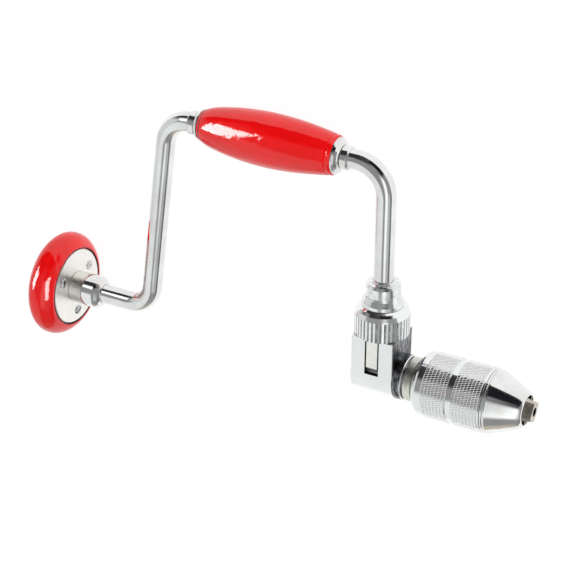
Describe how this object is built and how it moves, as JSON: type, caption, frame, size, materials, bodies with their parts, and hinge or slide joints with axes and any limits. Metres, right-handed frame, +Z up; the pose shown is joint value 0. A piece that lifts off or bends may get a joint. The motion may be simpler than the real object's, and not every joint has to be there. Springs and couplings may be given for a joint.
{
  "type": "carpenter's brace",
  "caption": "Carpenter's hand brace: bent crank with a turning barrel handle and round head pad, reversible ratchet box and ring, and a knurled screw chuck with opening jaws",
  "frame": {"origin": "on the drill axis, in the middle of the gripping length of the closed chuck jaws", "axes": "+X along the drill axis out of the chuck mouth; +Y from the drill axis towards the sweep handle; +Z up, square to the plane of the crank, so the brace lies on its side as it does on a bench"},
  "size_m": [0.3237, 0.1747, 0.064],
  "materials": {
    "chrome_rod": "bright chrome plating on drawn steel rod",
    "chrome_trim": "polished chrome plating",
    "satin_chrome": "ground and chrome plated, slightly satin",
    "satin_plate": "satin nickel plating",
    "dull_nickel": "dull nickel plating with machining marks",
    "knurled_chrome": "diamond knurled and chrome plated",
    "jaw_steel": "ground hardened steel",
    "red_lacquer": "turned hardwood under glossy red lacquer",
    "screw_zinc": "zinc plated",
    "steel": "bare steel",
    "bronze": "sintered bronze"
  },
  "bodies": {
    "frame": {"crank_rod": "chrome_rod", "rod_pin": "steel", "handle_stop_left": "chrome_trim", "handle_stop_right": "chrome_trim", "head_collar": "chrome_trim", "head_washer": "steel", "head_nut": "steel", "ratchet_box": "satin_chrome", "ratchet_cover": "satin_chrome", "spindle_bush": "bronze", "pawl_pin_front": "steel", "pawl_pin_rear": "steel", "pawl_spring_front": "steel", "pawl_spring_rear": "steel", "detent_ball": "steel", "detent_spring": "steel", "arm_sleeve": "chrome_trim"},
    "head": {"head_pad": "red_lacquer", "head_flange": "satin_plate", "head_screws": "screw_zinc", "head_bush": "bronze", "head_bearing_balls": "steel"},
    "sweep_grip": {"sweep_handle": "red_lacquer", "handle_ferrule_left": "chrome_trim", "handle_ferrule_right": "chrome_trim", "handle_bush_left": "bronze", "handle_bush_right": "bronze"},
    "selector": {"cam_ring": "chrome_trim"},
    "pawl_front": {"pawl_front": "satin_chrome"},
    "pawl_rear": {"pawl_rear": "satin_chrome"},
    "spindle": {"spindle": "dull_nickel", "wheel_key": "steel", "ratchet_wheel": "steel", "wheel_circlip": "steel", "spindle_thrust_washer": "steel", "jaw_spring": "steel"},
    "chuck_nose": {"nose_cone": "chrome_trim", "thrust_ring": "chrome_trim"},
    "chuck_sleeve": {"chuck_sleeve": "knurled_chrome", "chuck_snap_ring": "steel"},
    "jaw_front": {"jaw_front": "jaw_steel"},
    "jaw_rear": {"jaw_rear": "jaw_steel"}
  },
  "joints": [
    {"name": "head_spin", "type": "hinge", "parent": "frame", "child": "head", "pos_m": [-0.297, 0, 0], "axis": [1, 0, 0], "continuous": true},
    {"name": "grip_spin", "type": "hinge", "parent": "frame", "child": "sweep_grip", "pos_m": [-0.158, 0.127, 0], "axis": [1, 0, 0], "continuous": true},
    {"name": "selector_turn", "type": "hinge", "parent": "frame", "child": "selector", "pos_m": [-0.085, 0.034, 0], "axis": [0, 1, 0], "range_deg": [-30, 30]},
    {"name": "pawl_front_pivot", "type": "hinge", "parent": "frame", "child": "pawl_front", "pos_m": [-0.085, 0.0215, 0.0106], "axis": [1, 0, 0], "range_deg": [-3.44, 3.44], "deforming": ["pawl_spring_front"]},
    {"name": "pawl_rear_pivot", "type": "hinge", "parent": "frame", "child": "pawl_rear", "pos_m": [-0.085, 0.0215, -0.0106], "axis": [1, 0, 0], "range_deg": [-3.44, 3.44], "deforming": ["pawl_spring_rear"]},
    {"name": "spindle_turn", "type": "hinge", "parent": "frame", "child": "spindle", "pos_m": [-0.085, 0, 0], "axis": [1, 0, 0], "continuous": true},
    {"name": "nose_travel", "type": "slide", "parent": "spindle", "child": "chuck_nose", "axis": [1, 0, 0], "range_m": [0, 0.01085]},
    {"name": "sleeve_turn", "type": "hinge", "parent": "chuck_nose", "child": "chuck_sleeve", "pos_m": [-0.039, 0, 0], "axis": [1, 0, 0], "range_deg": [0, 1555.2]},
    {"name": "jaw_front_open", "type": "slide", "parent": "spindle", "child": "jaw_front", "axis": [0, 0.5446, 0.8387], "range_m": [0, 0.0025], "deforming": ["jaw_spring"]},
    {"name": "jaw_rear_open", "type": "slide", "parent": "spindle", "child": "jaw_rear", "axis": [0, -0.5446, -0.8387], "range_m": [0, 0.0025], "deforming": ["jaw_spring"]}
  ],
  "couplings": [
    {"joint": "pawl_front_pivot", "follows": "selector_turn", "ratio": -0.11459},
    {"joint": "pawl_rear_pivot", "follows": "selector_turn", "ratio": -0.11459},
    {"joint": "nose_travel", "follows": "sleeve_turn", "m_per_rad": 0.00039789},
    {"joint": "jaw_front_open", "follows": "sleeve_turn", "m_per_rad": 0.000091514},
    {"joint": "jaw_rear_open", "follows": "sleeve_turn", "m_per_rad": 0.000091514}
  ]
}
